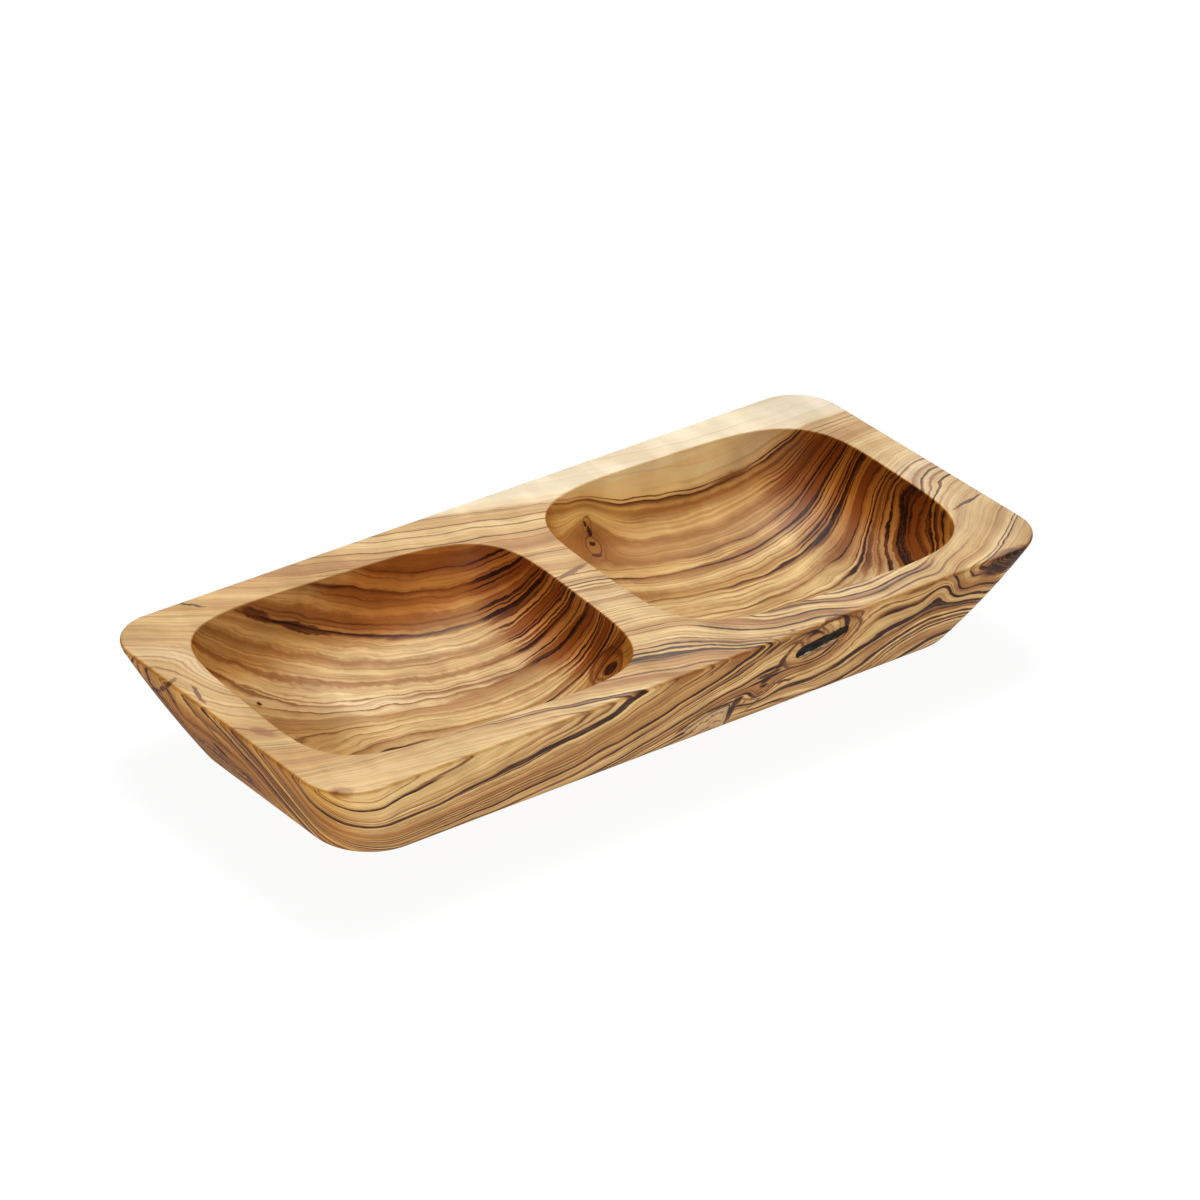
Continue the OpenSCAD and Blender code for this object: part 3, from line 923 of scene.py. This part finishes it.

    # Painted sheen on the flat rim, clouds, painted shade along the base, and the warmth of each face,
    # much of it painted light
    # Painted sheen: the flat top is paled, as if by a reflection
    colour = board.stain(colour, board.span(z, BLOCK_H - 0.5, BLOCK_H, 0.0, RIM_SHEEN_SHARE), RIM_SHEEN)
    across = board.math("ABSOLUTE", turned[0])
    colour = board.tint(colour, board.span(board.drawn_out(point, CLOUDS), 0.35, 0.65), CLOUD)
    # Painted shade: the edge of the base is darkened towards the floor
    colour = board.tint(colour, board.span(z, *BASE_SHADE_SPAN), BASE_PAINTED_SHADE)
    colour = board.tint(colour, left_rim, LEFT_RIM_WARMTH)
    colour = board.tint(colour, right_rim, RIGHT_RIM_WARMTH)
    colour = board.tint(colour, board.span(across, *END_GRAIN_SPAN), END_GRAIN)
    # Painted light: the bowl walls and the outer walls are tinted warmer than the flat rim
    slant = board.math("MULTIPLY", board.span(turned[2], *BOWL_SLANT), board.span(turned[2], *FACING_UP))
    colour = board.tint(colour, slant, BOWL_WALL_PAINTED_WARMTH)
    colour = board.tint(colour, outer, OUTER_WALL_PAINTED_WARMTH)
    # Painted light and shade in the bowls: darker, redder walls, and a lighter back wall in the right bowl
    for light_shade_and_lines, painted_tint in painted_lights:
        colour = board.tint(colour, light_shade_and_lines, painted_tint)
    board.feed(end["Colour"], colour)
    rough = board.math("ADD", board.span(hairs, 0.3, 0.7, 0.38, 0.5),
                       board.span(turned[2], *FACING_DOWN, 0.0, 0.2))
    board.feed(end["Roughness"], rough)
    board.feed(end["Grain"], board.drawn_out(point, PORES))
    return tree


def new_material(name):
    material = bpy.data.materials.new(name)
    material.use_nodes = True
    return material, Board(material.node_tree), material.node_tree.nodes["Principled BSDF"]


def finish_surface(board, shader, colour, roughness, gloss):
    board.feed(shader.inputs["Base Color"], colour)
    board.feed(shader.inputs["Roughness"], roughness)
    shader.inputs["Specular IOR Level"].default_value = gloss


def add_relief(board, shader, height, relief):
    strength, distance = relief
    bump = board.put("ShaderNodeBump", {"Strength": strength, "Distance": distance, "Height": height})
    board.feed(shader.inputs["Normal"], bump.outputs[0])


def olive_wood(figure):
    material, board, shader = new_material("oiled olive wood")
    place = board.put("ShaderNodeTexCoord", {}).outputs
    wood = board.use(figure, {"Point": place["Object"], "Facing": place["Normal"]})
    finish_surface(board, shader, wood["Colour"], wood["Roughness"], WOOD_GLOSS)
    add_relief(board, shader, wood["Grain"], WOOD_RELIEF)
    return material


def ingrown_bark():
    """Black bark that thins out to brown wood at its edges, with a painted highlight along its lower lip.
    """
    material, board, shader = new_material("ingrown bark")
    point = board.millimetres()
    rough = board.drawn_out(point, BARK_GRAIN, 4.0, 0.65)
    colour = board.stain(opaque(SOOT), board.span(rough, 0.45, 0.7), NIGHT)
    colour = board.stain(colour, board.span(rough, 0.68, 0.8, 0.0, 0.5), BARK_GREY)
    along, across, _ = board.split(board.near(point, BARK_FRAME))
    edge = board.math("DIVIDE", board.math("ABSOLUTE", across), BARK_W / 2)
    edge = board.math("ADD", edge, board.span(rough, 0.3, 0.7, -0.25, 0.25, "LINEAR"))
    taper = board.span(along, -BARK_L / 2, BARK_L / 2, 0.9, 0.5, "LINEAR")
    colour = board.stain(colour, board.span(board.math("SUBTRACT", edge, taper), 0.0, 0.2), BROWN)
    # Painted highlight: a pale line where light catches the bark's lower lip
    lit_lip = board.math("MULTIPLY", board.span(across, -0.36 * BARK_W, -0.46 * BARK_W),
                      board.span(rough, 0.4, 0.55))
    colour = board.stain(colour, lit_lip, BARK_LIP_HIGHLIGHT)
    finish_surface(board, shader, colour, board.span(rough, 0.3, 0.7, 0.7, 0.95), BARK_GLOSS)
    add_relief(board, shader, rough, BARK_RELIEF)
    return material


def knot_wood():
    """Pale stub with arched rings, a brown foot, and a paler skin with a dark edge along its outline."""
    material, board, shader = new_material("knot wood")
    point = board.millimetres()
    near = board.near(point, KNOT_FRAME)
    wobble = board.span(board.noise(point, 0.42, 3.0), 0, 1, -KNOT_WOBBLE, KNOT_WOBBLE, "LINEAR")
    arch = board.vector("MULTIPLY", board.vector("SUBTRACT", near, (*KNOT_CENTRE, 0)), (1, 1, 0))
    reach = board.math("DIVIDE", board.vector("LENGTH", arch), KNOT_R)
    inner = board.math("ADD", reach, wobble)
    colour = board.ramp(inner, [(share, opaque(tone)) for share, tone in KNOT_RINGS])
    grain = board.drawn_out(point, KNOT_GRAIN)
    colour = board.stain(colour, board.span(grain, 0.45, 0.75, 0.0, 0.5), BROWN)
    colour = board.stain(colour, board.span(board.split(near)[1], 4.5, 1.0, 0.0, 0.55), BROWN)
    side = board.vector("DOT_PRODUCT", near, (-math.cos(KNOT_LEAN), -math.sin(KNOT_LEAN), 0))
    side = board.math("ADD", side, board.math("MULTIPLY", wobble, 1.5))
    skin_share = board.math("MAXIMUM", board.span(reach, 0.9, 0.93), board.span(side, 1.9, 1.3))
    colour = board.stain(colour, skin_share, KNOT_SKIN)
    edge = board.math("MAXIMUM", board.span(reach, 0.95, 0.985), board.span(side, 0.6, 0.25))
    colour = board.stain(colour, edge, NIGHT)
    # The knot's darker tone, with the outer walls' painted warmth
    colour = board.tint(colour, 1.0, KNOT_PAINTED_WARMTH)
    finish_surface(board, shader, colour, board.span(grain, 0.3, 0.7, 0.4, 0.55), KNOT_GLOSS)
    return material


def build_body(material):
    body = make_object("carved_dish", skin(block_rings()))
    slot = slot_outline(BARK_L + 2 * INCLUSION_GAP, BARK_W + 2 * INCLUSION_GAP)
    stub = knot_outline(INCLUSION_GAP)
    tools = [
        make_object("left_bowl_tool", skin(bowl_rings(LEFT_BOWL))),
        make_object("right_bowl_tool", skin(bowl_rings(RIGHT_BOWL))),
        make_object("bark_tool", prism(slot, -BARK_DEPTH - INCLUSION_GAP, OVERRUN), BARK_FRAME),
        make_object("knot_tool", prism(stub, -KNOT_DEPTH - INCLUSION_GAP, OVERRUN), KNOT_FRAME),
    ]
    carve(body, tools)
    smooth_over(body)
    finish_piece(body, material, "dish_body")


def bark_height(x, y):
    """Height of the bark's face: fibres along it, splinters on them, and a rise to the lower lip."""
    fibres = noise.noise((x * BARK_FIBRES[0], y * BARK_FIBRES[1], 0))
    splinters = noise.noise((x * BARK_SPLINTERS[0], y * BARK_SPLINTERS[1], SPLINTER_LAYER))
    lip = max(0.0, -y / (BARK_W / 2))
    return -BARK_SINK + BARK_LIP * lip + BARK_ROUGHNESS * (fibres + SPLINTER_SHARE * splinters)


def build_bark(material):
    """Ragged sliver of bark that rises to the lower lip of its pocket."""
    bm = bmesh.new()
    bmesh.ops.create_grid(bm, x_segments=BARK_COLUMNS, y_segments=BARK_ROWS, size=0.5)
    for v in bm.verts:
        v.co = Vector((v.co.x * (BARK_L + OVERRUN), v.co.y * (BARK_W + OVERRUN), 0))
        v.co.z = bark_height(v.co.x, v.co.y)
    face_edges = [e for e in bm.edges if e.is_boundary]
    for element in bmesh.ops.extrude_edge_only(bm, edges=face_edges)["geom"]:
        if isinstance(element, bmesh.types.BMVert):
            element.co.z = -BARK_DEPTH - OVERRUN
    bmesh.ops.holes_fill(bm, edges=[e for e in bm.edges if e.is_boundary])
    bmesh.ops.recalc_face_normals(bm, faces=bm.faces)
    slot = slot_outline(BARK_L, BARK_W)
    bark = make_object("bark_sliver", prism(slot, -BARK_DEPTH, OVERRUN), BARK_FRAME)
    carve(bark, [make_object("ragged_tool", bm, BARK_FRAME)], "INTERSECT")
    smooth_over(bark)
    finish_piece(bark, material, "side_bark_core")


def build_knot(material):
    knot = make_object("branch_stub", prism(knot_outline(0), -KNOT_DEPTH, OVERRUN), KNOT_FRAME)
    carve(knot, [make_object("block_tool", skin(block_rings()))], "INTERSECT")
    smooth_over(knot)
    finish_piece(knot, material, "edge_knot")


WHITE = (1, 1, 1)
FLOOR_REACH = 6000
FLOOR_GREY = (0.07, 0.07, 0.07)
FLOOR_ROUGHNESS = 0.9
FLOOR_GLOW = 0.935

# Softboxes, aimed at the dish: place and size in metres, and watts
SOFTBOXES = {
    "overhead softbox": ((0.38, 0.52, 1.33), (0.7, 0.7), 24.2),
    "front softbox": ((-0.85, -0.95, 0.6), (0.8, 0.8), 8.0),
}
AMBIENT = 0.08
BACKDROP = 0.95

CAMERA_AZIMUTH = math.radians(-37.49)
CAMERA_ELEVATION = math.radians(29.68)
CAMERA_ROLL = math.radians(0.84)
CAMERA_TARGET = (-2.06, -9.35, 30)
CAMERA_DISTANCE = 1577.8
CAMERA_LENS = 192.6
CAMERA_SENSOR = 36
CAMERA_CLIP = (0.05, 50)


def build_floor():
    """White floor that glows by itself, and has just enough colour to take the dish's shadow."""
    bm = bmesh.new()
    bmesh.ops.create_grid(bm, x_segments=1, y_segments=1, size=FLOOR_REACH)
    floor = make_object("floor", bm)
    material, board, shader = new_material("pale floor")
    finish_surface(board, shader, opaque(FLOOR_GREY), FLOOR_ROUGHNESS, 0.0)
    shader.inputs["Emission Color"].default_value = opaque(WHITE)
    shader.inputs["Emission Strength"].default_value = FLOOR_GLOW
    floor.data.materials.append(material)


def build_light(name, place, size, watts):
    lamp = bpy.data.lights.new(name, "AREA")
    lamp.shape, lamp.energy = "RECTANGLE", watts
    lamp.size, lamp.size_y = size
    obj = bpy.data.objects.new(name, lamp)
    obj.location = place
    obj.rotation_mode = "QUATERNION"
    obj.rotation_quaternion = (-Vector(place)).to_track_quat("-Z", "Y")
    bpy.context.scene.collection.objects.link(obj)


def build_world():
    """Faint light from all round, and a white backdrop that only the camera sees."""
    world = bpy.data.worlds.new("studio")
    bpy.context.scene.world = world
    world.use_nodes = True
    board = Board(world.node_tree)
    seen = board.put("ShaderNodeLightPath", {}).outputs["Is Camera Ray"]
    background = world.node_tree.nodes["Background"]
    board.feed(background.inputs["Strength"], board.span(seen, 0, 1, AMBIENT, BACKDROP, "LINEAR"))
    background.inputs["Color"].default_value = opaque(WHITE)


def build_camera():
    data = bpy.data.cameras.new("camera")
    data.sensor_width, data.lens = CAMERA_SENSOR, CAMERA_LENS
    data.clip_start, data.clip_end = CAMERA_CLIP
    camera = bpy.data.objects.new("camera", data)
    az, el = CAMERA_AZIMUTH, CAMERA_ELEVATION
    back = Vector((math.sin(az) * math.cos(el), -math.cos(az) * math.cos(el), math.sin(el)))
    turn = (-back).to_track_quat("-Z", "Y").to_matrix() @ Matrix.Rotation(CAMERA_ROLL, 3, "Z")
    camera.rotation_mode = "QUATERNION"
    camera.rotation_quaternion = turn.to_quaternion()
    camera.location = (Vector(CAMERA_TARGET) + back * CAMERA_DISTANCE) * MM
    bpy.context.scene.collection.objects.link(camera)
    bpy.context.scene.camera = camera


figure = olive_figure_group(ring_depth_group(swell_group()), oval_group())
build_body(olive_wood(figure))
build_bark(ingrown_bark())
build_knot(knot_wood())
build_floor()
for name, (place, size, watts) in SOFTBOXES.items():
    build_light(name, place, size, watts)
build_world()
build_camera()
bpy.context.scene.view_settings.view_transform = "Standard"
